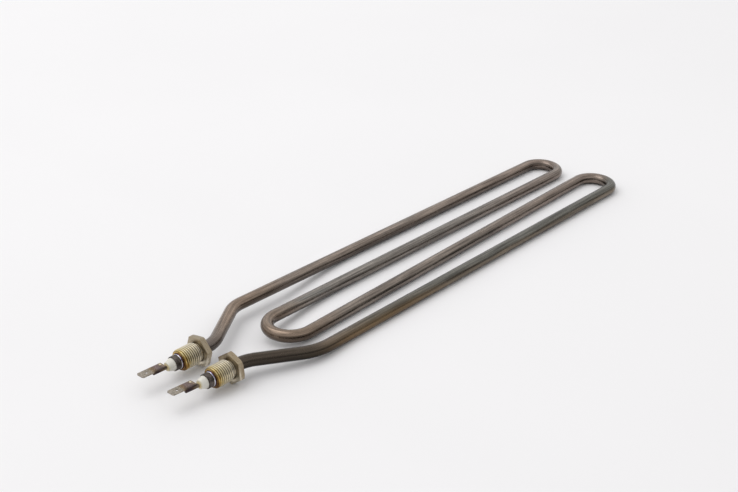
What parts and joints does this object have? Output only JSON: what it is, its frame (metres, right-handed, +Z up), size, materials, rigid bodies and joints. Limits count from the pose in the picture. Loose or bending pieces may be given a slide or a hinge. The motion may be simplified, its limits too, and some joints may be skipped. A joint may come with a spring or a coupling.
{
  "type": "tubular heating element",
  "caption": "Long flat M-shaped tubular heater with joggled ends, threaded hexagon bushings, ceramic end insulators and flat push-on tabs.",
  "frame": {"origin": "midway between the two bushing axes in the plane of the seats, the terminal-side faces of the hexagons", "axes": "+X along the legs from the seats to the far bends, +Y to the left bushing, +Z up, square to the plane of the bent tube; the terminals point to -X"},
  "size_m": [0.4447, 0.0888, 0.0212],
  "materials": {
    "sheath": "heat-darkened drawn stainless tube",
    "magnesia": "compacted powder",
    "winding": "resistance alloy wire",
    "pin": "heat-tinted plated steel",
    "bushing": "nickel-plated steel, heat-tinted front",
    "braze": "heat-tinted braze",
    "collar": "dark oxidised steel",
    "insulator": "fired white steatite, unglazed",
    "seal": "translucent sealing compound",
    "tab": "nickel-plated steel, weld-tinted"
  },
  "bodies": {
    "root": {"sheath_tube": "sheath", "magnesia_fill": "magnesia", "resistance_coil": "winding", "left_terminal_pin": "pin", "left_threaded_bushing": "bushing", "left_braze_ring": "braze", "left_end_collar": "collar", "left_ceramic_insulator": "insulator", "left_end_seal": "seal", "left_tab_terminal": "tab", "right_terminal_pin": "pin", "right_threaded_bushing": "bushing", "right_braze_ring": "braze", "right_end_collar": "collar", "right_ceramic_insulator": "insulator", "right_end_seal": "seal", "right_tab_terminal": "tab"}
  },
  "joints": []
}
